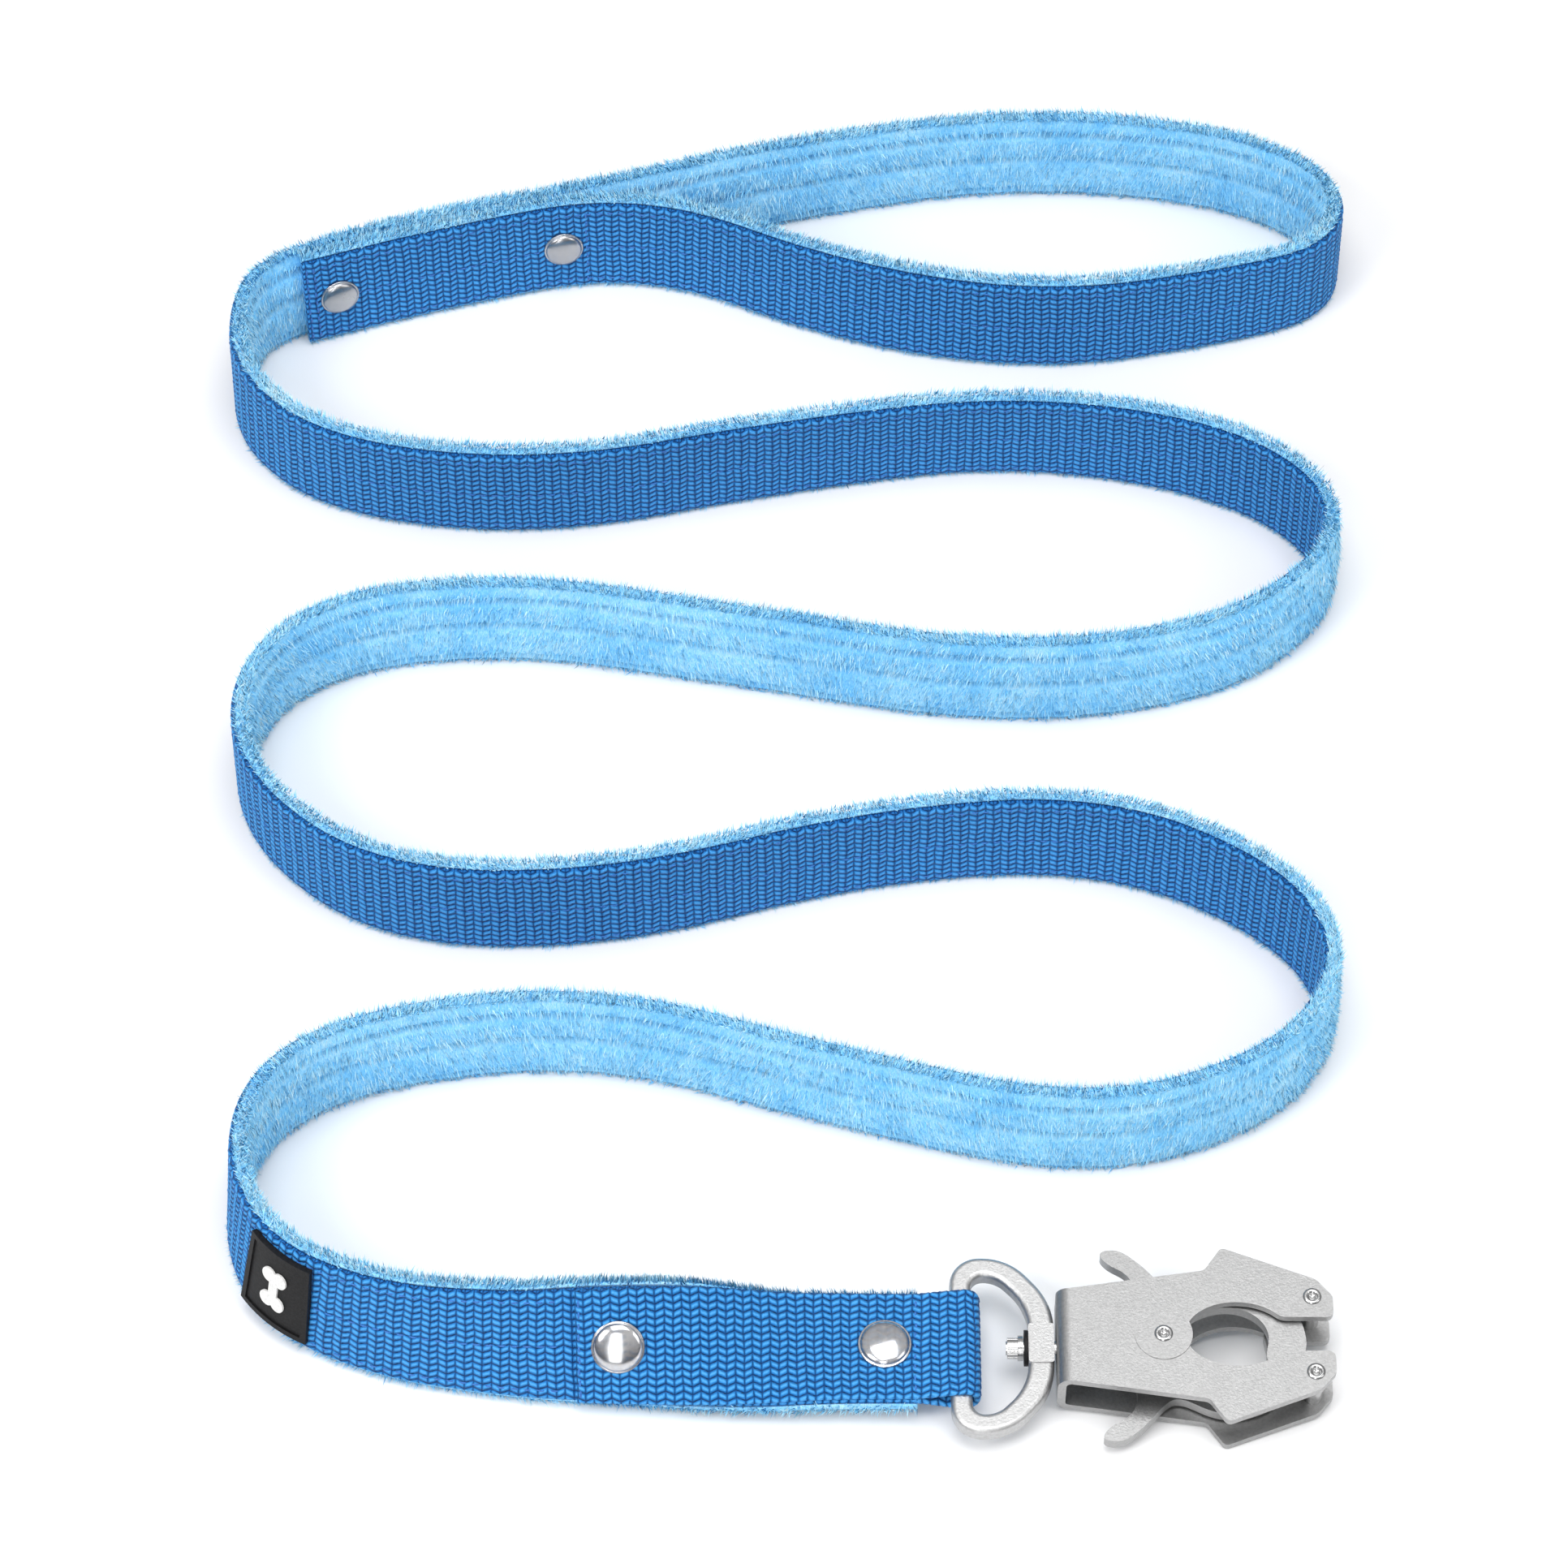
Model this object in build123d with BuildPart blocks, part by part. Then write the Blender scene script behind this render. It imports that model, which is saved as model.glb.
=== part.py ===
from build123d import *
from dataclasses import dataclass
from math import atan, cos, degrees, hypot, radians, sin, tan
import os

# A dog lead: one long strap of webbing lined with plush, a riveted hand loop at one
# end and a swivelling frog clip at the other. Millimetres, +Z up. The strap stands on
# its edge on the floor z = 0, and turns down almost flat where it meets the clip.
# The origin is on the floor under the middle of the metal: D-ring and clip together.

os.makedirs("parts", exist_ok=True)

# ---- strap -----------------------------------------------------------------------
webbing_width = 25.0
webbing_thickness = 1.6
sleeve_width = 27.0
sleeve_thickness = 2.35
layer_gap = 0.05
strap_thickness = webbing_thickness + layer_gap + sleeve_thickness
webbing_outer = -strap_thickness / 2
webbing_inner = webbing_outer + webbing_thickness
plush_inner = webbing_inner + layer_gap
plush_outer = strap_thickness / 2
folded_outer = webbing_outer - webbing_thickness

# ---- ring and clip ---------------------------------------------------------------
clip_tilt = 6.0
bar_half = 2.3
ring_half_thickness = 2.2
ring_half_width = 21.3
ring_corner = 1.2
crossbar_start = 14.4
crossbar_end = 19.9
crossbar_width = 9.4
crossbar_half_thickness = 2.7
crossbar_corner = 0.6
tip_x = 79.6
bump_half_width = 21.1
plate_thickness = 1.8
frame_half = 6.4
frame_inner = frame_half - plate_thickness
frame_wall_x = 20.4
pivot_x = 43.1
fork_x = 75.2
fork_y = 9.1
prong_gap_half = 4.1
eye_x = 58.8
eye_half_length = 11.0
eye_half_width = 7.7
rivet_radius = 1.45
rivet_hole_radius = 1.5
rivet_bore_radius = 0.7
rivet_head_radius = 2.0
rivet_head_proud = 0.45
boss_proud = 0.25
spacer_radius = 2.1
lever_bore_radius = 1.52
lever_inner = 1.1
lever_outer = 4.0
washer_inner = 4.05
washer_outer = 4.55
washer_radius = 2.9
pin_radius = 1.5
pin_bore_radius = 1.57
loop_hole_radius = 2.75
loop_length = 9.3
loop_hole_end = 5.8
loop_hole_end_radius = 0.15
loop_overlap = 0.1

bar_x = -(tip_x - bar_half) / 2
tilt = radians(clip_tilt)
bar_z = frame_half * cos(tilt) + bump_half_width * sin(tilt)
hardware = Plane(origin=(bar_x, 0, bar_z), x_dir=(1, 0, 0), z_dir=(0, -sin(tilt), cos(tilt)))
across = hardware.y_dir
pivot_axis = Axis(hardware.from_local_coords((pivot_x, 0, 0)), hardware.z_dir)

# ---- route of the strap's middle, from the clip to the end of the hand loop --------
# x, y, lean of the strap's top towards its plush side in degrees, lift off the floor
flat_lean = 90 - clip_tilt
flat_height = sleeve_width / 2 * sin(tilt) + strap_thickness / 2 * cos(tilt)
end_lift = bar_z - strap_thickness / 2 * cos(tilt) - flat_height
end_y = strap_thickness / 2 * sin(tilt)
route = [
    (bar_x - loop_length, end_y, flat_lean, end_lift),
    (-134.5, -1.5, 32, 0),
    (-163, 2, 20, 0),
    (-187, 14, 12, 0),
    (-197, 36, 5, 0),
    (-192.5, 61.5, 0, 0),
    (-170, 77, 0, 0),
    (-119, 84.5, 0, 0),
    (-62, 65.5, 0, 0),
    (-9, 51.5, 0, 0),
    (32, 66, 0, 0),
    (48.5, 92, 0, 0),
    (38, 118, 2, 0),
    (-2, 140.5, 2, 0),
    (-57, 136.5, 0, 0),
    (-116, 117.5, 2, 0),
    (-167, 118.5, 2, 0),
    (-198, 144.5, 0, 0),
    (-203.5, 175, 0, 0),
    (-186, 199, 0, 0),
    (-142, 206.5, 0, 0),
    (-85, 195.5, 0, 0),
    (-27, 183.5, 0, 0),
    (23, 190.5, 0, 0),
    (51.5, 213, 0, 0),
    (53.5, 236, 0, 0),
    (28, 257, 0, 0),
    (-22, 266.5, -4, 0),
    (-77, 257.5, -2, 0),
    (-134, 243.5, 0, 0),
    (-185, 250.5, 1, 0),
    (-208.5, 273, 2, 0),
    (-209, 299.5, -2, 0),
    (-200, 311.5, -4, 0),
    (-162, 325.6, -4, 0),
    (-126, 334.6, -4, 0),
    (-76, 351.5, 0, 0),
    (-19, 362.5, 2, 0),
    (30, 357, 2, 0),
    (54, 344.5, 0, 0),
    (61, 330, 0, 0),
    (55, 316, 0, 0),
    (34, 308.5, 0, 0),
    (-12, 299, 2, 0),
    (-61, 308.5, 4, 0),
    (-111, 333.8, 4, 0),
    (-160.3, 321.7, 4, 0),
    (-194.5, 309.1, 4, 0),
]
# share of the first run, lean and lift: the strap lies flat by the ring, then turns up
first_run = [
    (0, flat_lean, end_lift),
    (0.19, flat_lean, end_lift),
    (0.27, flat_lean - 3, 2.6),
    (0.78, 40, 0.2),
    (0.95, 40, 0.2),
    (1, 32, 0),
]
arc_share = 0.45
widest_twist = 12.0
floor_points = [Vector(x, y, 0) for x, y, lean, lift in route]


def corner_radius(before, corner, after):
    """The largest arc that the two runs at a corner leave room for."""
    turn = (corner - before).get_angle(after - corner)
    shorter = min((corner - before).length, (after - corner).length)
    return arc_share * shorter / tan(radians(turn / 2))


radii = [corner_radius(*floor_points[i - 1 : i + 2]) for i in range(1, len(route) - 1)]
with BuildLine() as middle_line:
    FilletPolyline(*floor_points, radius=radii)


@dataclass
class Stretch:
    """A straight run or an arc of the strap's middle line, seen from above."""

    start: Vector
    end: Vector
    heading: Vector
    centre: Vector
    turn: float
    stations: list

    def plane(self, share):
        """The strap's cross-section plane at a share of the stretch: x to the plush side."""
        if self.centre is None:
            point = self.start + (self.end - self.start) * share
            heading = self.heading
        else:
            point = (self.start - self.centre).rotate(Axis.Z, self.turn * share) + self.centre
            heading = self.heading.rotate(Axis.Z, self.turn * share)
        after = next(i for i in range(1, len(self.stations)) if share <= self.stations[i][0])
        low, lean, lift = self.stations[after - 1]
        high, next_lean, next_lift = self.stations[after]
        part = (share - low) / (high - low)
        lean = radians(lean + (next_lean - lean) * part)
        lift = lift + (next_lift - lift) * part
        level = Vector(heading.Y, -heading.X, 0)
        to_plush = level * cos(lean) - Vector(0, 0, sin(lean))
        height = sleeve_width / 2 * cos(lean) + strap_thickness / 2 * abs(sin(lean)) + lift
        return Plane(origin=(point.X, point.Y, height), x_dir=to_plush, z_dir=heading)

    def face(self, share, depth):
        """A plane on the strap's webbing side: z out of the webbing, x along the strap."""
        section = self.plane(share)
        origin = section.origin + section.x_dir * depth
        return Plane(origin=origin, x_dir=section.z_dir, z_dir=section.x_dir * -1)


def stretches():
    """The runs and arcs of the middle line in order, with the lean and lift along each."""
    found = []
    at = floor_points[0]
    for number, edge in enumerate(middle_line.wire().order_edges()):
        forward = (edge.position_at(0) - at).length < (edge.position_at(1) - at).length
        end = edge.position_at(1 if forward else 0)
        heading = edge.tangent_at(0) if forward else edge.tangent_at(1) * -1
        corner = (number + 1) // 2
        after = corner if number % 2 else corner + 1
        centre = None
        turn = 0
        if edge.geom_type == GeomType.CIRCLE:
            centre = edge.arc_center
            left = heading.cross(end - at).Z > 0
            turn = degrees(edge.length / edge.radius) * (1 if left else -1)
        stations = [(0, *route[corner][2:]), (1, *route[after][2:])]
        found.append(Stretch(at, end, heading, centre, turn, stations))
        at = end
    found[0].stations = first_run
    return found


strap = stretches()
folded_stretches = 1
tag_stretch = strap[5]


def slab(plane, near, far, width):
    """The strap's rectangular section between two depths from its middle."""
    with BuildSketch(plane) as section:
        with Locations(((near + far) / 2, 0)):
            Rectangle(far - near, width)
    return section.sketch


def ribbon(pieces, near, far, width):
    """A flat band along runs, lofted where it twists, and along arcs, turned about them."""
    for piece in pieces:
        if piece.centre is not None:
            section = slab(piece.plane(0), near, far, width)
            up = 1 if piece.turn > 0 else -1
            revolve(section, axis=Axis(piece.centre, (0, 0, up)), revolution_arc=abs(piece.turn))
            continue
        for (low, lean, _), (high, next_lean, _) in zip(piece.stations, piece.stations[1:]):
            steps = 1 + int(abs(next_lean - lean) / widest_twist)
            shares = [low + (high - low) * step / steps for step in range(steps + 1)]
            loft([slab(piece.plane(share), near, far, width) for share in shares], ruled=True)


# ---- rivets through the strap ---------------------------------------------------------------
post_radius = 1.6
post_gap = 0.02
cap_gap = 0.2
layers_gap = 0.3
clip_cap_radius = 5.8
handle_cap_radius = 4.9
clip_stack = plush_outer - folded_outer
handle_stack = 2 * strap_thickness + 2 * cap_gap + layers_gap
hole_margin = 3.0
clip_rivet_shares = (0.092, 0.87)
end_rivet_share = 0.585
inner_rivet_share = 0.96
clip_rivet_faces = [strap[0].face(share, folded_outer) for share in clip_rivet_shares]
handle_rivet_faces = [
    strap[-1].face(end_rivet_share, webbing_outer - cap_gap),
    strap[-4].face(inner_rivet_share, webbing_outer - cap_gap),
]


def pierce(faces):
    """Holes for the rivets' posts."""
    for face in faces:
        with BuildSketch(face.offset(1)) as hole:
            Circle(post_radius + post_gap)
        extrude(hole.sketch, amount=-handle_stack - hole_margin, mode=Mode.SUBTRACT)


# ---- webbing: the folded clip end, then the single layer to the end of the hand loop ----
loop_plane = Plane(
    origin=hardware.origin - across * (webbing_width / 2), x_dir=(1, 0, 0), z_dir=across
)
with BuildSketch(loop_plane) as loop_hole:
    Circle(loop_hole_radius)
    with Locations((-loop_hole_end, 0)):
        Circle(loop_hole_end_radius)
    make_hull()
with BuildPart() as face_webbing:
    with BuildSketch(loop_plane):
        Circle(loop_hole_radius + webbing_thickness)
        with Locations((loop_overlap - loop_length, 0)):
            Rectangle(2 * loop_overlap, 2 * webbing_thickness)
        make_hull()
        add(loop_hole.sketch_local, mode=Mode.SUBTRACT)
    extrude(amount=webbing_width)
    ribbon(strap[:folded_stretches], folded_outer, webbing_inner, webbing_width)
    ribbon(strap[folded_stretches:], webbing_outer, webbing_inner, webbing_width)
    pierce(clip_rivet_faces + handle_rivet_faces)

with BuildPart() as plush_sleeve:
    ribbon(strap, plush_inner, plush_outer, sleeve_width)
    pierce(clip_rivet_faces + handle_rivet_faces)

# ---- rubber tag, bent round the strap's first corner ------------------------------------
tag_length = 16.8
tag_height = 21.2
tag_shift = 2.3
tag_thickness = 1.4
tag_rim = 1.3
tag_rim_height = 0.4
tag_gap = 0.02
tag_back = webbing_outer - tag_gap
tag_front = tag_back - tag_thickness
mark_length = 9.0
mark_knob = 1.9
knob_spacing = 3.04
mark_bar = 2.4
mark_thickness = 0.45
tag_bend_radius = (tag_stretch.start - tag_stretch.centre).length
tag_centre = 0.5 - degrees(tag_shift / tag_bend_radius) / abs(tag_stretch.turn)


def tag_band(length, near, far, height, mode=Mode.ADD):
    """Part of the tag's bend, centred on the tag."""
    bend = degrees(length / tag_bend_radius)
    section = slab(tag_stretch.plane(tag_centre - bend / abs(tag_stretch.turn) / 2), near, far, height)
    up = 1 if tag_stretch.turn > 0 else -1
    revolve(section, axis=Axis(tag_stretch.centre, (0, 0, up)), revolution_arc=bend, mode=mode)


with BuildPart() as tag_base:
    tag_band(tag_length, tag_front, tag_back, tag_height)
    pocket = (tag_length - 2 * tag_rim, tag_front - 1, tag_front + tag_rim_height)
    tag_band(*pocket, tag_height - 2 * tag_rim, mode=Mode.SUBTRACT)

with BuildPart() as tag_mark:
    with BuildSketch(tag_stretch.face(tag_centre, tag_front + tag_rim_height - tag_gap)):
        Rectangle(mark_bar, mark_length - mark_knob)
        with GridLocations(knob_spacing, mark_length - mark_knob, 2, 2):
            Circle(mark_knob)
    extrude(amount=mark_thickness)

# ---- sewn bars across the strap -----------------------------------------------------------
stitch_length = 2.6
stitch_width = 0.7
stitch_proud = 0.35
stitch_pitch = 3.6
stitches_per_row = 6
end_row_shares = (0.98, 0.9)
inner_row_share = 0.834
clip_row_shares = (0.006, 0.99)


def stitch_row(plane):
    """A row of stitches across the strap, standing a little out of the webbing."""
    with BuildSketch(plane) as row:
        with GridLocations(1, stitch_pitch, 1, stitches_per_row):
            RectangleRounded(stitch_width, stitch_length, stitch_width / 2 - 0.01)
    extrude(row.sketch, amount=stitch_proud)


with BuildPart() as handle_stitching:
    for share in end_row_shares:
        stitch_row(strap[-1].face(share, webbing_outer))
    stitch_row(strap[-4].face(inner_row_share, webbing_outer))

with BuildPart() as clip_end_stitching:
    for share in clip_row_shares:
        stitch_row(strap[0].face(share, folded_outer))

# ---- strap rivets: a domed cap in front, a post with its own domed cap behind ---------------
cap_rim = 0.5
cap_dome = 1.5


def dome(plane, radius):
    """A cap with a low dome, its flat side on the plane."""
    ball = (radius**2 + cap_dome**2) / (2 * cap_dome)
    with BuildPart(plane) as cap:
        Cylinder(radius, cap_rim + cap_dome, align=(Align.CENTER, Align.CENTER, Align.MIN))
        with Locations((0, 0, cap_rim + cap_dome - ball)):
            Sphere(ball, mode=Mode.INTERSECT)
    add(cap.part)


def post(front, length, radius):
    """A post that ends under the front cap, and the cap on its other end."""
    with BuildSketch(front) as section:
        Circle(post_radius)
    extrude(section.sketch, amount=-length)
    behind = Plane(origin=front.origin - front.z_dir * length, x_dir=front.x_dir, z_dir=front.z_dir * -1)
    dome(behind, radius)


with BuildPart() as clip_rivet_caps:
    for face in clip_rivet_faces:
        dome(face, clip_cap_radius)
with BuildPart() as clip_rivet_posts:
    for face in clip_rivet_faces:
        post(face, clip_stack, clip_cap_radius)
with BuildPart() as handle_rivet_caps:
    for face in handle_rivet_faces:
        dome(face, handle_cap_radius)
with BuildPart() as handle_rivet_posts:
    for face in handle_rivet_faces:
        post(face, handle_stack, handle_cap_radius)

# ---- D-ring: a cast ring with a round-edged bar in the strap's fold ---------------------------
ring_top = hardware.offset(ring_half_thickness)
ring_outline = [(-bar_half, ring_half_width), (10.4, ring_half_width), (crossbar_end, 10.4)]
window_outline = [(bar_half, 16.7), (7.6, 16.6), (crossbar_start, 9.6)]
ring_radii = [6.5, 12.5, 16.0, 16.0, 12.5, 6.5]
window_radii = [2.6, 6.0, 14.0, 14.0, 6.0, 2.6]


def mirrored(points):
    """The points of a closed outline from those of its upper half."""
    return [*points, *[(x, -y) for x, y in reversed(points)]]


def end_faces(part):
    """The flat faces at both ends of a piece along the clip's thickness."""
    ordered = part.faces().sort_by(Axis(hardware.origin, hardware.z_dir))
    return [ordered[0], ordered[-1]]


with BuildPart() as d_ring:
    with BuildSketch(hardware.offset(-ring_half_thickness)):
        with BuildLine():
            FilletPolyline(*mirrored(ring_outline), radius=ring_radii, close=True)
        make_face()
    extrude(amount=2 * ring_half_thickness)
    with BuildSketch(hardware.offset(-ring_half_thickness)):
        with BuildLine():
            FilletPolyline(*mirrored(window_outline), radius=window_radii, close=True)
        make_face()
    extrude(amount=2 * ring_half_thickness, mode=Mode.SUBTRACT)
    fillet([e for f in end_faces(d_ring) for e in f.edges()], ring_corner)
    with BuildSketch(hardware.offset(-crossbar_half_thickness)):
        with Locations(((crossbar_start + crossbar_end) / 2, 0)):
            RectangleRounded(crossbar_end - crossbar_start, crossbar_width, crossbar_corner)
    extrude(amount=2 * crossbar_half_thickness)
    with BuildSketch(Plane(origin=hardware.from_local_coords((crossbar_start - 1, 0, 0)), z_dir=(1, 0, 0))):
        Circle(pin_bore_radius)
    extrude(amount=crossbar_end - crossbar_start + 2, mode=Mode.SUBTRACT)

# ---- swivel: pin, thrust washer, plain washer and ribbed nut ------------------------------------
frame_end_inner = frame_wall_x + plate_thickness
pin_head_radius = 3.5
pin_head = 1.6
nut_start = 9.9
nut_end = 12.1
nut_radius = 2.3
rib_count = 12
rib_radius = 0.22
thrust_washer_radius = 3.9
thrust_washer_thickness = 0.8
plain_washer_radius = 2.75
plain_washer_thickness = 1.1
washer_gap = 0.1
thrust_washer_x = crossbar_start - thrust_washer_thickness - washer_gap
nut_gap = 0.05
nut_bore_radius = 1.52
pin_end = 0.3


def disc(x, length, radius, bore=0):
    """A turned disc on the swivel's axis, with an optional bore."""
    with BuildSketch(Plane(origin=hardware.from_local_coords((x, 0, 0)), z_dir=(1, 0, 0))) as face:
        Circle(radius)
        if bore:
            Circle(bore, mode=Mode.SUBTRACT)
    extrude(face.sketch, amount=length)


with BuildPart() as swivel_pin:
    disc(nut_start - pin_end, frame_end_inner + nut_gap - nut_start + pin_end, pin_radius)
    disc(frame_end_inner + nut_gap, pin_head, pin_head_radius)
with BuildPart() as swivel_thrust_washer:
    disc(thrust_washer_x, thrust_washer_thickness, thrust_washer_radius, pin_bore_radius)
with BuildPart() as swivel_washer:
    disc(nut_end + nut_gap, plain_washer_thickness, plain_washer_radius, pin_bore_radius)
with BuildPart() as swivel_nut:
    disc(nut_start, nut_end - nut_start, nut_radius, nut_bore_radius)
    nut_face = Plane(
        origin=hardware.from_local_coords((nut_start, 0, 0)), x_dir=hardware.y_dir, z_dir=(1, 0, 0)
    )
    with BuildSketch(nut_face):
        with PolarLocations(nut_radius, rib_count):
            Circle(rib_radius)
    extrude(amount=nut_end - nut_start, mode=Mode.SUBTRACT)

# ---- clip frame: one plate bent into a channel, with a closed eye and a mouth --------------------
channel_half = 11.2
channel_end = 25.4
channel_outer_corner = 3.0
channel_inner_corner = 1.2
plate_outline = [
    (23.3, channel_half),
    (52.3, 15.5),
    (56.1, bump_half_width),
    (76.2, 13.3),
    (tip_x, 9.2),
    (tip_x, prong_gap_half),
]
plate_corner_radii = [2.0, 1.3, 3.0, 2.2, 1.6]
mouth_corner_radius = 4.0
boss_radius = 6.2
mouth_length = tip_x - eye_x + 1
mouth_align = (Align.MIN, Align.CENTER)


def near(point, reach):
    """Whether a sketch vertex lies near a place or its mirror image across the clip."""
    return lambda v: hypot(v.X - point[0], abs(v.Y) - point[1]) < reach


with BuildSketch() as plate:
    with BuildLine():
        Polyline(*mirrored(plate_outline), close=True)
    make_face()
    with Locations((eye_x, 0)):
        Ellipse(eye_half_length, eye_half_width, mode=Mode.SUBTRACT)
    with Locations((eye_x, 0)):
        Rectangle(mouth_length, 2 * prong_gap_half, align=mouth_align, mode=Mode.SUBTRACT)
    for corner, radius in zip(plate_outline[1:], plate_corner_radii):
        fillet(plate.vertices().filter_by(near(corner, 0.1)), radius)
    mouth_corner_x = eye_x + eye_half_length * (1 - (prong_gap_half / eye_half_width) ** 2) ** 0.5
    fillet(plate.vertices().filter_by(near((mouth_corner_x, prong_gap_half), 0.1)), mouth_corner_radius)

side = Plane(origin=hardware.origin - across * channel_half, x_dir=(1, 0, 0), z_dir=across)
channel_length = channel_end - frame_wall_x
pierced = [(pivot_x, 0), (fork_x, fork_y), (fork_x, -fork_y)]
with BuildPart() as clip_frame:
    with BuildSketch(side) as channel:
        with Locations((frame_wall_x, 0)):
            Rectangle(channel_length, 2 * frame_half, align=(Align.MIN, Align.CENTER))
        fillet(channel.vertices().group_by(Axis.X)[0], channel_outer_corner)
        with BuildSketch(mode=Mode.PRIVATE) as channel_room:
            with Locations((frame_end_inner, 0)):
                Rectangle(channel_length, 2 * frame_inner, align=(Align.MIN, Align.CENTER))
            fillet(channel_room.vertices().group_by(Axis.X)[0], channel_inner_corner)
        add(channel_room.sketch, mode=Mode.SUBTRACT)
    extrude(amount=2 * channel_half)
    for height in (frame_inner, -frame_half):
        with BuildSketch(hardware.offset(height)):
            add(plate.sketch)
        extrude(amount=plate_thickness)
    for height in (frame_half, -frame_half - boss_proud):
        with BuildSketch(hardware.offset(height)):
            with Locations((pivot_x, 0)):
                Circle(boss_radius)
        extrude(amount=boss_proud)
    with BuildSketch(hardware.offset(-frame_half - 1)):
        with Locations(*pierced):
            Circle(rivet_hole_radius)
    extrude(amount=2 * frame_half + 2, mode=Mode.SUBTRACT)
    with BuildSketch(Plane(origin=hardware.from_local_coords((frame_wall_x - 1, 0, 0)), z_dir=(1, 0, 0))):
        Circle(pin_bore_radius)
    extrude(amount=plate_thickness + 2, mode=Mode.SUBTRACT)

# ---- levers: a thumb tail, a hub on the pivot and a hooked jaw round the eye ------------------------
lever_thickness = lever_outer - lever_inner
lever_outline = [
    (47.9, 4.0),
    (53.0, 7.1),
    (59.4, 7.4),
    (64.2, 4.4),
    (65.7, 0),
    (65.3, -4.9),
    (67.4, -6.9),
    (70.6, -6.7),
    (73.0, -4.0),
    (73.6, 0.7),
    (71.6, 6.8),
    (66.5, 12.5),
    (59.6, 15.2),
    (51.9, 14.0),
    (45.6, 11.8),
    (40.9, 15.9),
    (36.7, 20.0),
    (32.5, 21.8),
    (30.2, 20.9),
    (31.2, 18.9),
    (35.0, 16.3),
    (37.5, 11.8),
    (37.7, 4.5),
]
hub_radius = 5.8


def lever(side_sign):
    """One lever, on the side of the clip given by the sign of its local y and z."""
    start = lever_inner if side_sign > 0 else -lever_outer
    with BuildSketch(hardware.offset(start)) as outline:
        with BuildLine():
            Spline(*[(x, side_sign * y) for x, y in lever_outline], periodic=True)
        make_face()
        with Locations((pivot_x, 0)):
            Circle(hub_radius)
            Circle(lever_bore_radius, mode=Mode.SUBTRACT)
    extrude(outline.sketch, amount=lever_thickness)


with BuildPart() as upper_lever:
    lever(1)
with BuildPart() as lower_lever:
    lever(-1)

# ---- pivot rivet, its washers, and the two riveted spacers of the fork --------------------------------
head_face = frame_half + boss_proud


def rod(place, low, high, radius, bore=0):
    """A round piece across the clip's thickness."""
    with BuildSketch(hardware.offset(low)) as section:
        with Locations(place):
            Circle(radius)
            if bore:
                Circle(bore, mode=Mode.SUBTRACT)
    extrude(section.sketch, amount=high - low)


with BuildPart() as pivot_rivet:
    rod(pierced[0], -head_face, head_face, rivet_radius)
    rod(pierced[0], head_face, head_face + rivet_head_proud, rivet_head_radius)
    rod(pierced[0], -head_face - rivet_head_proud, -head_face, rivet_head_radius)
with BuildPart() as front_pivot_washer:
    rod(pierced[0], washer_inner, washer_outer, washer_radius, lever_bore_radius)
with BuildPart() as back_pivot_washer:
    rod(pierced[0], -washer_outer, -washer_inner, washer_radius, lever_bore_radius)
with BuildPart() as fork_spacers:
    for place in pierced[1:]:
        rod(place, -frame_inner + 0.02, frame_inner - 0.02, spacer_radius, rivet_hole_radius)
with BuildPart() as fork_rivets:
    for place in pierced[1:]:
        rod(place, -frame_half, frame_half, rivet_radius)
        rod(place, frame_half, frame_half + rivet_head_proud, rivet_head_radius)
        rod(place, -frame_half - rivet_head_proud, -frame_half, rivet_head_radius)
    with BuildSketch(hardware.offset(-frame_half - 1)):
        with Locations(*pierced[1:]):
            Circle(rivet_bore_radius)
    extrude(amount=2 * frame_half + 2, mode=Mode.SUBTRACT)

# ---- torsion spring round the pivot, a leg on each lever's tail ----------------------------------------
spring_wire = 0.65
spring_pitch = 0.7
spring_turns = 2
spring_radius = 2.3
spring_leg = 9.0

spring_base = hardware.from_local_coords((pivot_x, 0, -spring_pitch * spring_turns / 2))
spring_plane = Plane(origin=spring_base, x_dir=(1, 0, 0), z_dir=hardware.z_dir)
with BuildPart() as torsion_spring:
    with BuildLine(spring_plane) as coil:
        Helix(spring_pitch, spring_pitch * spring_turns, spring_radius)
    with BuildSketch(Plane(origin=coil.line @ 0, z_dir=coil.line % 0)):
        Circle(spring_wire / 2)
    sweep(path=coil.wire())
    with BuildSketch(Plane(origin=coil.line @ 0, z_dir=(coil.line % 0) * -1)):
        Circle(spring_wire / 2)
    extrude(amount=spring_leg)
    with BuildSketch(Plane(origin=coil.line @ 1, z_dir=coil.line % 1)):
        Circle(spring_wire / 2)
    extrude(amount=spring_leg)

# ---- names, files and a check of the strap's size ------------------------------------------------------
pieces = {
    "face_webbing": face_webbing,
    "plush_sleeve": plush_sleeve,
    "handle_stitching": handle_stitching,
    "clip_end_stitching": clip_end_stitching,
    "tag_base": tag_base,
    "tag_mark": tag_mark,
    "handle_rivet_caps": handle_rivet_caps,
    "handle_rivet_posts": handle_rivet_posts,
    "clip_rivet_caps": clip_rivet_caps,
    "clip_rivet_posts": clip_rivet_posts,
    "d_ring": d_ring,
    "swivel_pin": swivel_pin,
    "swivel_thrust_washer": swivel_thrust_washer,
    "swivel_washer": swivel_washer,
    "swivel_nut": swivel_nut,
    "clip_frame": clip_frame,
    "pivot_rivet": pivot_rivet,
    "front_pivot_washer": front_pivot_washer,
    "back_pivot_washer": back_pivot_washer,
    "fork_spacers": fork_spacers,
    "fork_rivets": fork_rivets,
    "torsion_spring": torsion_spring,
    "upper_lever": upper_lever,
    "lower_lever": lower_lever,
}
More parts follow.
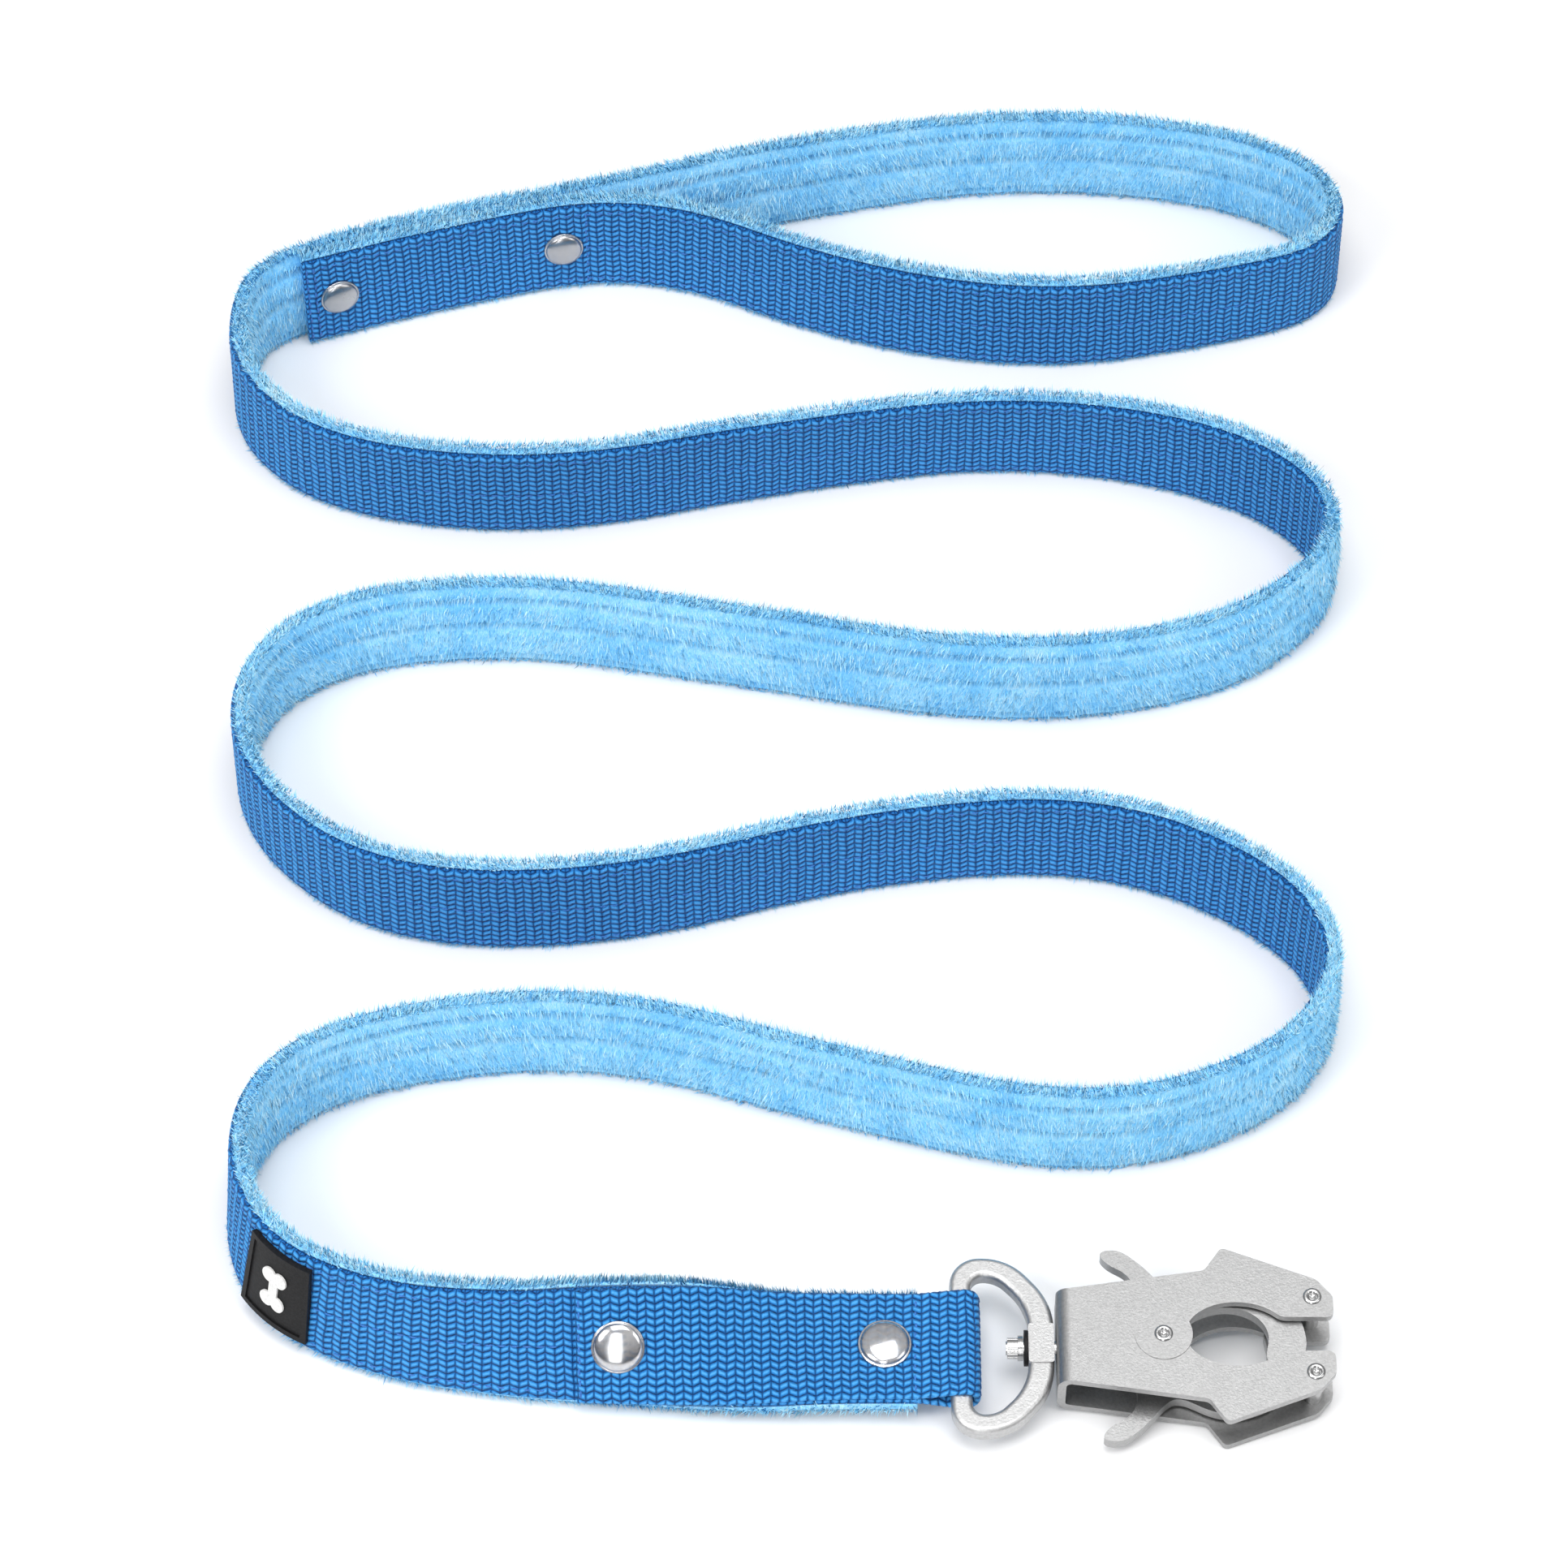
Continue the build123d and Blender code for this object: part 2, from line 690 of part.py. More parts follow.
for name, piece in pieces.items():
    piece.part.label = name
    export_step(piece.part, f"parts/{name}.step")
    box = piece.part.bounding_box()
    print(f"{name}: {len(piece.part.solids())} solids, z {box.min.Z:.2f} to {box.max.Z:.2f}")

length = middle_line.wire().length
expected = length * sleeve_thickness * sleeve_width
print(f"strap {length:.0f} mm; bend radii {min(radii):.1f} to {max(radii):.1f} mm:")
print(" ".join(f"{radius:.0f}" for radius in radii))
print(f"plush volume {plush_sleeve.part.volume:.0f} mm3, section times length {expected:.0f} mm3")
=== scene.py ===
from math import cos, pi, radians, sin

import bmesh
import bpy
import numpy as np
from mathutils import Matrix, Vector


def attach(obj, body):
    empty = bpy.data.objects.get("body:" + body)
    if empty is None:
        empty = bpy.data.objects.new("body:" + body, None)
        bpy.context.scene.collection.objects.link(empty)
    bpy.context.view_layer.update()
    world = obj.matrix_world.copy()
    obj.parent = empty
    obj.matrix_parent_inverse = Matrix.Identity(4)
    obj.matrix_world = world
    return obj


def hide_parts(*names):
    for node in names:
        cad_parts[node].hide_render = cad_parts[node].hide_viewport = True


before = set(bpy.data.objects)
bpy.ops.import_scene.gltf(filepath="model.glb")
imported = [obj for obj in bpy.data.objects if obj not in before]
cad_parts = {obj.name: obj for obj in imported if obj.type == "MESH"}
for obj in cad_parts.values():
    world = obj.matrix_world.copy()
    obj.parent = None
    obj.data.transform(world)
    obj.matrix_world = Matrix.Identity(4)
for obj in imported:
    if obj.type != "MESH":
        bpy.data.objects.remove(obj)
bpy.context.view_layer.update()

# A dog lead, in metres. Lengths with a name ending in _mm are millimetres.
rng = np.random.default_rng(7)
MM = 0.001

# ---- camera and light --------------------------------------------------------------
scene = bpy.context.scene
look_at = Vector((-0.0765, 0.1649, 0))
elevation = radians(50)
distance = 1.4208
camera_data = bpy.data.cameras.new("camera")
camera_data.lens = 140.3
camera_data.sensor_width = 36
camera = bpy.data.objects.new("camera", camera_data)
camera.location = look_at + Vector((0, -cos(elevation), sin(elevation))) * distance
camera.rotation_euler = (pi / 2 - elevation, 0, 0)
scene.collection.objects.link(camera)
scene.camera = camera
scene.view_settings.view_transform = "Standard"


def area_light(name, place, width, height, power):
    data = bpy.data.lights.new(name, "AREA")
    data.shape = "RECTANGLE"
    data.size = width
    data.size_y = height
    data.energy = power
    light = bpy.data.objects.new(name, data)
    light.location = place
    light.rotation_euler = (look_at - Vector(place)).to_track_quat("-Z", "Y").to_euler()
    scene.collection.objects.link(light)


area_light("overhead", (0.0, -0.05, 1.7), 1.2, 1.2, 17)
area_light("key", (-1.1, -0.7, 1.3), 0.7, 0.7, 12)
area_light("fill", (1.3, -0.5, 1.0), 0.8, 0.8, 5)
area_light("front", (-0.2, -1.5, 0.85), 0.5, 1.5, 8)


# ---- materials ------------------------------------------------------------------------
class Nodes:
    """A material's node tree, with short calls for the nodes used here."""

    def __init__(self, name):
        self.material = bpy.data.materials.new(name)
        self.material.use_nodes = True
        self.tree = self.material.node_tree
        self.shader = self.tree.nodes["Principled BSDF"]

    def node(self, kind, values=(), **settings):
        made = self.tree.nodes.new(kind)
        for key, value in settings.items():
            setattr(made, key, value)
        for key, value in dict(values).items():
            self.put(made.inputs[key], value)
        return made

    def put(self, socket, value):
        if isinstance(value, bpy.types.NodeSocket):
            self.tree.links.new(value, socket)
        else:
            socket.default_value = value

    def math(self, operation, *values):
        made = self.node("ShaderNodeMath", operation=operation)
        for socket, value in zip(made.inputs, values):
            self.put(socket, value)
        return made.outputs[0]

    def noise(self, coords, scale, detail=3.0, roughness=0.5):
        values = {"Vector": coords, "Scale": scale, "Detail": detail, "Roughness": roughness}
        return self.node("ShaderNodeTexNoise", values).outputs["Fac"]

    def ramp(self, factor, stops):
        made = self.node("ShaderNodeValToRGB", {"Fac": factor})
        elements = made.color_ramp.elements
        for extra in range(len(stops) - 2):
            elements.new(0.5)
        for element, (place, colour) in zip(elements, stops):
            element.position = place
            element.color = (*colour, 1)
        return made.outputs["Color"]

    def mix(self, factor, first, second):
        made = self.node("ShaderNodeMix", data_type="RGBA")
        self.put(made.inputs[0], factor)
        self.put(made.inputs[6], first)
        self.put(made.inputs[7], second)
        return made.outputs[2]

    def bump(self, height, depth_mm, strength=1.0, normal=None):
        values = {"Height": height, "Distance": depth_mm * MM, "Strength": strength}
        if normal is not None:
            values["Normal"] = normal
        return self.node("ShaderNodeBump", values).outputs["Normal"]

    def set(self, **values):
        for key, value in values.items():
            self.put(self.shader.inputs[key.replace("_", " ")], value)

    def set_specular(self, level):
        self.shader.inputs["Specular IOR Level"].default_value = level

    def object_coords(self):
        return self.node("ShaderNodeTexCoord").outputs["Object"]

    def strap_coords(self):
        """Millimetres along and across the strap, from the UV map."""
        uv = self.node("ShaderNodeUVMap", uv_map="strap").outputs["UV"]
        parts = self.node("ShaderNodeSeparateXYZ", {"Vector": uv})
        return [self.math("MULTIPLY", parts.outputs[axis], 1000) for axis in (0, 1)]


weave_pitch_mm = 3.8
weave_swing_mm = 0.8
row_pitch_mm = 1.62
yarn_pitch_mm = 0.32


def webbing_material():
    m = Nodes("woven_webbing")
    along, across = m.strap_coords()
    wander = m.math("MULTIPLY", m.noise(m.object_coords(), 160, 2), 0.9)
    along = m.math("ADD", along, wander)
    zigzag = m.math("PINGPONG", m.math("DIVIDE", along, weave_pitch_mm / 2), 1.0)
    shifted = m.math("ADD", across, m.math("MULTIPLY", zigzag, weave_swing_mm))
    row = m.math("FRACT", m.math("DIVIDE", shifted, row_pitch_mm))
    ridge = m.math("SINE", m.math("MULTIPLY", row, pi))
    column = m.math("ABSOLUTE", m.math("SUBTRACT", m.math("MULTIPLY", zigzag, 2), 1))
    valley = m.math("SUBTRACT", 1, m.math("POWER", column, 5))
    crest = m.math("MULTIPLY_ADD", valley, 0.68, 0.32)
    height = m.math("MULTIPLY", m.math("POWER", ridge, 0.6), crest)
    # Painted shading: one flank of each ridge is painted darker and the other lighter, as if lit from
    # one side.
    painted_flank_shade = m.math("SUBTRACT", row, 0.5)
    twist = m.math("ADD", shifted, m.math("MULTIPLY", along, 0.25))
    yarn = m.math("SINE", m.math("MULTIPLY", twist, 2 * pi / yarn_pitch_mm))
    grain = m.noise(m.object_coords(), 2600, 2)
    # The colour follows the weave's height: the grooves are painted dark and the crests light, as
    # painted shade between the ridges.
    tone = m.math("ADD", height, m.math("MULTIPLY", m.math("SUBTRACT", grain, 0.5), 0.35))
    tone = m.math("ADD", tone, m.math("MULTIPLY", painted_flank_shade, 0.25))
    stops = [
        (0.15, (0.002, 0.04, 0.17)),
        (0.5, (0.009, 0.12, 0.4)),
        (0.85, (0.025, 0.235, 0.6)),
        (1.0, (0.07, 0.34, 0.74)),
    ]
    colour = m.ramp(tone, stops)
    cloud = m.noise(m.object_coords(), 45, 3)
    colour = m.mix(m.math("MULTIPLY", cloud, 0.12), colour, (0.03, 0.26, 0.64, 1))
    relief = m.bump(height, 0.7, 1.0)
    fine = m.math("ADD", m.math("MULTIPLY", yarn, 0.25), grain)
    m.set(Base_Color=colour, Roughness=0.62, Normal=m.bump(fine, 0.07, 0.6, relief))
    m.set(Sheen_Weight=0.03, Sheen_Roughness=0.4)
    m.set_specular(0.22)
    return m.material


def plush_material():
    m = Nodes("plush_pile")
    coords = m.object_coords()
    patch = m.noise(coords, 70, 3, 0.55)
    swirl = m.noise(coords, 260, 3, 0.6)
    along, across = m.strap_coords()
    brushed = m.node("ShaderNodeCombineXYZ", {"X": along, "Y": m.math("MULTIPLY", across, 0.28)})
    strands = m.noise(brushed.outputs[0], 3.4, 4, 0.65)
    tone = m.math("ADD", m.math("MULTIPLY", patch, 0.4), m.math("MULTIPLY", swirl, 0.2))
    tone = m.math("ADD", tone, m.math("MULTIPLY", strands, 0.6))
    stops = [
        (0.38, (0.08, 0.4, 0.82)),
        (0.53, (0.2, 0.58, 0.93)),
        (0.64, (0.33, 0.7, 0.97)),
        (0.78, (0.58, 0.86, 1.0)),
    ]
    height = m.math("ADD", m.math("MULTIPLY", strands, 0.7), m.math("MULTIPLY", swirl, 0.5))
    m.set(Base_Color=m.ramp(tone, stops), Roughness=0.88, Normal=m.bump(height, 0.5, 0.7))
    m.set_specular(0.05)
    return m.material


def strand_material():
    """The pile's fibres: their map holds a tone for each fibre, and goes from 0 at its root to 1."""
    m = Nodes("plush_strands")
    fibre = m.node("ShaderNodeUVMap", uv_map="strap").outputs["UV"]
    parts = m.node("ShaderNodeSeparateXYZ", {"Vector": fibre})
    patch = m.noise(m.object_coords(), 90, 3, 0.6)
    # Painted shade: each fibre is painted darker at its root and lighter at its tip, as shade down in
    # the pile.
    tone = m.math("MULTIPLY_ADD", parts.outputs[0], 0.45, m.math("MULTIPLY", parts.outputs[1], 0.3))
    tone = m.math("MULTIPLY_ADD", patch, 0.5, tone)
    stops = [
        (0.2, (0.09, 0.4, 0.8)),
        (0.45, (0.2, 0.6, 0.93)),
        (0.7, (0.4, 0.77, 0.98)),
        (0.95, (0.74, 0.94, 1.0)),
    ]
    m.set(Base_Color=m.ramp(tone, stops), Roughness=0.9)
    m.set_specular(0.0)
    return m.material


def thread_material():
    m = Nodes("sewing_thread")
    twist = m.noise(m.object_coords(), 3000, 2)
    stops = [(0.3, (0.008, 0.085, 0.34)), (0.7, (0.025, 0.2, 0.6))]
    m.set(Base_Color=m.ramp(twist, stops), Roughness=0.6)
    m.set(Normal=m.bump(twist, 0.08, 0.7), Sheen_Weight=0.2)
    return m.material


def metal_material(name, colour, roughness, grain_mm=0.0):
    m = Nodes(name)
    coords = m.object_coords()
    cloud = m.noise(coords, 120, 3)
    spread = m.math("MULTIPLY_ADD", cloud, 0.14, roughness - 0.07)
    darker = tuple(c * (0.86 if grain_mm else 0.97) for c in colour)
    tint = m.ramp(m.noise(coords, 1500, 2), [(0.35, darker), (0.65, colour)])
    m.set(Base_Color=tint, Metallic=1.0, Roughness=spread)
    if grain_mm:
        m.set(Normal=m.bump(m.noise(coords, 2200, 2, 0.6), grain_mm, 0.6))
    return m.material


def rubber_material(name, dark, light, grain_mm):
    m = Nodes(name)
    grain = m.noise(m.object_coords(), 1800, 3)
    m.set(Base_Color=m.ramp(grain, [(0.35, dark), (0.7, light)]), Roughness=0.55)
    m.set(Normal=m.bump(grain, grain_mm, 0.6))
    m.set_specular(0.22)
    return m.material


webbing = webbing_material()
plush = plush_material()
plush_strands = strand_material()
thread = thread_material()
nickel = metal_material("satin_nickel", (0.43, 0.43, 0.43), 0.42, 0.07)
cast = metal_material("cast_nickel", (0.54, 0.54, 0.54), 0.44, 0.1)
lever_metal = metal_material("lever_nickel", (0.42, 0.42, 0.42), 0.38, 0.06)
bright = metal_material("bright_steel", (0.5, 0.5, 0.5), 0.2, 0.03)
chrome = metal_material("polished_chrome", (0.9, 0.9, 0.91), 0.16)
satin_chrome = metal_material("satin_chrome", (0.8, 0.8, 0.81), 0.27)
spring_metal = metal_material("spring_steel", (0.25, 0.25, 0.26), 0.35)
rubber = rubber_material("black_rubber", (0.004, 0.004, 0.0045), (0.011, 0.011, 0.012), 0.06)
print_rubber = rubber_material("pale_rubber", (0.68, 0.68, 0.67), (0.85, 0.85, 0.84), 0.04)


# ---- mesh helpers ---------------------------------------------------------------------
def make_piece(name, points, faces, material, body, uv=None):
    """A mesh piece on a body, from arrays of points and of faces with equal corners."""
    points = np.asarray(points, dtype=np.float32)
    faces = np.asarray(faces, dtype=np.int32)
    mesh = bpy.data.meshes.new(name)
    mesh.vertices.add(len(points))
    mesh.vertices.foreach_set("co", points.ravel())
    mesh.loops.add(faces.size)
    mesh.loops.foreach_set("vertex_index", faces.ravel())
    mesh.polygons.add(len(faces))
    loop_starts = np.arange(len(faces), dtype=np.int32) * faces.shape[1]
    mesh.polygons.foreach_set("loop_start", loop_starts)
    mesh.polygons.foreach_set("use_smooth", np.full(len(faces), True))
    if uv is not None:
        layer = mesh.uv_layers.new(name="strap")
        layer.data.foreach_set("uv", np.asarray(uv, dtype=np.float32)[faces.ravel()].ravel())
    mesh.materials.append(material)
    mesh.update(calc_edges=True)
    mesh.validate()
    made = bpy.data.objects.new(name, mesh)
    scene.collection.objects.link(made)
    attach(made, body)
    return made


def grid_faces(rows, columns):
    """Quads between rows of closed rings of points, each ring with a number of columns."""
    row = np.arange(rows - 1)[:, None] * columns
    column = np.arange(columns)[None, :]
    after = (column + 1) % columns
    corners = [row + column, row + after, row + columns + after, row + columns + column]
    return np.stack(corners, axis=-1).reshape(-1, 4)


# ---- the ring's bar, and the sizes of the strap ----------------------------------------------
# The hardware lies tilted on the floor: its origin is the ring's bar, with the clip along x.
clip_tilt = radians(6)
tip_x_mm = 79.6
bar_radius_mm = 2.3
frame_half_thick_mm = 6.4
frame_half_width_mm = 21.1
bar_x_mm = -(tip_x_mm - bar_radius_mm) / 2
bar_z_mm = frame_half_thick_mm * cos(clip_tilt) + frame_half_width_mm * sin(clip_tilt)
sleeve_half_mm = 13.5
half_thick_mm = 2.0

# ---- the strap's route: x, y in mm, lean of its top to the plush side in degrees, lift in mm -----
flat_lean = 84
loop_length_mm = 9.3
end_lift_mm = bar_z_mm - 2 * half_thick_mm * cos(clip_tilt) - sleeve_half_mm * sin(clip_tilt)
route = [
    (bar_x_mm - loop_length_mm, 0.209, flat_lean, end_lift_mm),
    (-64, 0.35, flat_lean, end_lift_mm),
    (-80, 0.0, 78, 2.1),
    (-104, -0.6, 46, 0.4),
    (-118, -0.9, 37, 0.2),
    (-134.5, -1.5, 24, 0),
    (-163, 2, 16, 0),
    (-187, 14, 12, 0),
    (-197, 36, 5, 0),
    (-192.5, 61.5, 0, 0),
    (-170, 77, 0, 0),
    (-119, 84.5, 0, 0),
    (-62, 65.5, 0, 0),
    (-9, 51.5, 0, 0),
    (32, 66, 0, 0),
    (48.5, 92, 0, 0),
    (38, 118, 2, 0),
    (-2, 140.5, 2, 0),
    (-57, 136.5, 0, 0),
    (-116, 117.5, 2, 0),
    (-167, 118.5, 2, 0),
    (-198, 144.5, 0, 0),
    (-203.5, 175, 0, 0),
    (-186, 199, 0, 0),
    (-142, 206.5, 0, 0),
    (-85, 195.5, 0, 0),
    (-27, 183.5, 0, 0),
    (23, 190.5, 0, 0),
    (51.5, 213, 0, 0),
    (53.5, 236, 0, 0),
    (28, 257, 0, 0),
    (-22, 266.5, -4, 0),
    (-77, 257.5, -2, 0),
    (-134, 243.5, 0, 0),
    (-185, 250.5, 1, 0),
    (-208.5, 273, 2, 0),
    (-209, 299.5, -2, 0),
    (-200, 311.5, -4, 0),
    (-162, 325.6, -4, 0),
    (-126, 334.6, -4, 0),
    (-76, 351.5, 0, 0),
    (-19, 362.5, 2, 0),
    (30, 357, 2, 0),
    (54, 344.5, 0, 0),
    (61, 330, 0, 0),
    (55, 316, 0, 0),
    (34, 308.5, 0, 0),
    (-12, 299, 2, 0),
    (-61, 308.5, 4, 0),
    (-111, 333.8, 4, 0),
    (-160.3, 321.7, 4, 0),
    (-194.5, 309.1, 4, 0),
]


def spline_points(name, controls):
    """Points on the smooth NURBS curve that the control points make."""
    curve = bpy.data.curves.new(name, "CURVE")
    curve.dimensions = "3D"
    spline = curve.splines.new("NURBS")
    spline.points.add(len(controls) - 1)
    for point, control in zip(spline.points, controls):
        point.co = (*control, 1)
    spline.order_u = 3
    spline.use_endpoint_u = True
    spline.resolution_u = 96
    holder = bpy.data.objects.new(name, curve)
    scene.collection.objects.link(holder)
    bpy.context.view_layer.update()
    mesh = bpy.data.meshes.new_from_object(holder)
    found = np.array([v.co[:] for v in mesh.vertices])
    bpy.data.objects.remove(holder)
    bpy.data.meshes.remove(mesh)
    return found


def smooth_columns(rows, reach):
    """Replaces each row by the mean of its neighbours, up to a reach before and after it."""
    count = 2 * reach + 1
    for axis in range(rows.shape[1]):
        padded = np.pad(rows[:, axis], reach, mode="edge")
        rows[:, axis] = np.convolve(padded, np.ones(count) / count, mode="valid")


def between(places, known, rows):
    """Rows of numbers at places, from the rows at known places."""
    return np.stack([np.interp(places, known, rows[:, a]) for a in range(rows.shape[1])], axis=-1)


plan = spline_points("route_plan", [(x * MM, y * MM, 0) for x, y, lean, lift in route])
stance = spline_points("route_stance", [(radians(lean), lift * MM, 0) for x, y, lean, lift in route])
travelled = np.r_[0, np.cumsum(np.linalg.norm(np.diff(plan[:, :2], axis=0), axis=1))]
step_mm = 0.5
strap_length = travelled[-1]
ring_count = int(strap_length / (step_mm * MM))
s = np.linspace(0, strap_length, ring_count)
x = np.interp(s, travelled, plan[:, 0])
y = np.interp(s, travelled, plan[:, 1])
lean = np.interp(s, travelled, stance[:, 0])
lift = np.interp(s, travelled, stance[:, 1])
heading = np.stack([np.gradient(x, s), np.gradient(y, s)], axis=1)
smooth_columns(heading, 4)
heading /= np.linalg.norm(heading, axis=1)[:, None]
level = np.stack([heading[:, 1], -heading[:, 0], np.zeros(ring_count)], axis=1)
up = np.array([0, 0, 1.0])
to_plush = level * np.cos(lean)[:, None] - up * np.sin(lean)[:, None]
to_top = level * np.sin(lean)[:, None] + up * np.cos(lean)[:, None]
height = sleeve_half_mm * MM * np.cos(lean) + half_thick_mm * MM * np.abs(np.sin(lean)) + lift
middle = np.stack([x, y, height], axis=1)


def strap_place(distance, depth, side):
    """Points at distances along the strap, depths to the plush side and heights across it."""
    found = between(distance, s, middle)
    normal = between(distance, s, to_plush)
    top = between(distance, s, to_top)
    return found + normal * np.asarray(depth)[..., None] + top * np.asarray(side)[..., None]


def weave_height(along_mm, across_mm):
    """Height of the woven ridges, from 0 in the grooves to 1."""
    zigzag = 1 - np.abs((along_mm / (weave_pitch_mm / 2)) % 2 - 1)
    row = ((across_mm + zigzag * weave_swing_mm) / row_pitch_mm) % 1
    return np.sin(row * pi) ** 0.6 * (1 - 0.55 * np.abs(2 * zigzag - 1) ** 5)


# ---- webbing -----------------------------------------------------------------------------
webbing_half_mm = 12.5
face_columns = 56
stitch_rows_mm = (10.2, -0.4, -10.6)
edge_inset_mm = 0.25
selvedge_mm = 0.22
selvedge_pitch_mm = 1.3
ridge_mm = 0.34
stitch_sink_mm = 0.14


def band_section(along_mm, outer_mm, inner_mm):
    """Rings of a woven band: depth and height across, both in mm, per ring and column."""
    across_reach = webbing_half_mm - edge_inset_mm
    across = np.linspace(-across_reach, across_reach, face_columns)
    selvedge = selvedge_mm * np.abs(np.sin(along_mm * pi / selvedge_pitch_mm))[:, None]
    ridge = weave_height(along_mm[:, None], across[None, :])
    edge_fade = np.clip((webbing_half_mm - np.abs(across)) / 0.9, 0.25, 1)[None, :]
    sunk = sum(np.exp(-(((across - row) / 0.5) ** 2)) for row in stitch_rows_mm)[None, :]
    groove_depth = outer_mm + 0.18
    face_depth = groove_depth - (ridge_mm * ridge - stitch_sink_mm * sunk) * edge_fade
    face_side = np.broadcast_to(across, face_depth.shape)
    ones = np.ones_like(selvedge)
    mid = (outer_mm + inner_mm) / 2
    half = (inner_mm - outer_mm) / 2
    edge_depth = [mid - half * 0.45, mid + half * 0.45, inner_mm]
    edge_side = [
        webbing_half_mm + selvedge,
        webbing_half_mm + selvedge * 0.6,
        (webbing_half_mm - 0.3) * ones,
    ]
    depth = [face_depth, *[d * ones for d in edge_depth], *[d * ones for d in reversed(edge_depth)]]
    side = [face_side, *edge_side, *[-e for e in reversed(edge_side)]]
    return np.concatenate(depth, axis=1), np.concatenate(side, axis=1)


webbing_outer_mm = -2.0
webbing_inner_mm = -0.4
webbing_thick_mm = webbing_inner_mm - webbing_outer_mm
depth_mm, side_mm = band_section(s * 1000, webbing_outer_mm, webbing_inner_mm)
band_points = strap_place(s[:, None] + 0 * side_mm, depth_mm * MM, side_mm * MM)
band_uv = np.stack([np.broadcast_to(s[:, None], side_mm.shape), side_mm * MM], axis=-1)
columns = depth_mm.shape[1]
band_faces = grid_faces(ring_count, columns)
webbing_piece = make_piece(
    "webbing",
    band_points.reshape(-1, 3),
    band_faces,
    webbing,
    "lead",
    band_uv.reshape(-1, 2),
)


def close_ends(piece):
    """Fills the open ends of a tube-like mesh."""
    shell = bmesh.new()
    shell.from_mesh(piece.data)
    rim = [e for e in shell.edges if e.is_boundary]
    bmesh.ops.holes_fill(shell, edges=rim, sides=0)
    bmesh.ops.triangulate(shell, faces=[f for f in shell.faces if len(f.verts) > 4])
    bmesh.ops.recalc_face_normals(shell, faces=shell.faces)
    shell.to_mesh(piece.data)
    shell.free()


close_ends(webbing_piece)
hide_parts("face_webbing")

# The folded clip end: back from the sewn tail, round the ring's bar, and under again.
tilt_up = Vector((0, -sin(clip_tilt), cos(clip_tilt)))
tilt_across = Vector((0, cos(clip_tilt), sin(clip_tilt)))
bar = Vector((bar_x_mm * MM, 0, bar_z_mm * MM))
tail_length = 0.0735
tail_s = np.arange(tail_length, 0, -step_mm * MM)
tail_middle_mm = -2.85
wrap_radius_mm = 3.5
wrap_angles = np.linspace(radians(62), radians(-80), 26)


def fold_stations():
    """Centre, outward normal and width direction of the folded layer, from tail to underside."""
    centres = list(strap_place(tail_s, np.full(len(tail_s), tail_middle_mm * MM), 0 * tail_s))
    normals = list(-between(tail_s, s, to_plush))
    widths = list(between(tail_s, s, to_top))
    for angle in wrap_angles:
        out = Vector((1, 0, 0)) * cos(angle) + tilt_up * sin(angle)
        centres.append(np.array(bar + out * wrap_radius_mm * MM))
        normals.append(np.array(out))
        widths.append(np.array(tilt_across))
    webbing_middle_mm = (webbing_outer_mm + webbing_inner_mm) / 2
    under = strap_place(np.array([0.0, 0.002]), np.full(2, webbing_middle_mm * MM), np.zeros(2))
    for place in under:
        centres.append(place)
        normals.append(np.array(-tilt_up))
        widths.append(np.array(tilt_across))
    return np.array(centres), np.array(normals), np.array(widths)


fold_centre, fold_normal, fold_width = fold_stations()
fold_s = np.r_[0, np.cumsum(np.linalg.norm(np.diff(fold_centre, axis=0), axis=1))]
fold_count = int(fold_s[-1] / (step_mm * MM))
fine_s = np.linspace(0, fold_s[-1], fold_count)
smooth_centre = between(fine_s, fold_s, fold_centre)
smooth_columns(smooth_centre, 3)
smooth_normal = between(fine_s, fold_s, fold_normal)
smooth_normal /= np.linalg.norm(smooth_normal, axis=1)[:, None]
smooth_width = between(fine_s, fold_s, fold_width)
smooth_width /= np.linalg.norm(smooth_width, axis=1)[:, None]
fold_depth, fold_side = band_section(fine_s * 1000, -webbing_thick_mm / 2, webbing_thick_mm / 2)
fold_points = (
    smooth_centre[:, None, :]
    - smooth_normal[:, None, :] * (fold_depth * MM)[..., None]
    + smooth_width[:, None, :] * (fold_side * MM)[..., None]
)
fold_uv = np.stack([np.broadcast_to(-fine_s[:, None], fold_side.shape), fold_side * MM], axis=-1)
fold_piece = make_piece(
    "clip_end_fold",
    fold_points.reshape(-1, 3),
    grid_faces(fold_count, columns),
    webbing,
    "lead",
    fold_uv.reshape(-1, 2),
)
close_ends(fold_piece)

# ---- plush lining: a soft sleeve with sewn channels, and its pile ----------------------------
channels_mm = (8.0, -0.6, -11.4)
plush_profile_columns = 40
pile_mm = 2.25
channel_mm = 1.5


def plush_depth(across_mm, along_mm):
    """Depth of the pile's surface across the sleeve, in mm, sunk along the sewn channels."""
    bulge = np.maximum(1 - np.abs(across_mm / sleeve_half_mm) ** 6, 0)
    crown = pile_mm * np.sqrt(bulge)
    sunk = sum(np.exp(-(((across_mm - row) / 0.9) ** 2)) for row in channels_mm)
    ripple = 0.16 * np.sin(along_mm / 5.3 + across_mm / 3.0) * np.sin(along_mm / 3.1)
    return np.maximum(crown - channel_mm * np.minimum(sunk, 1) + ripple, 0.1) - 0.1


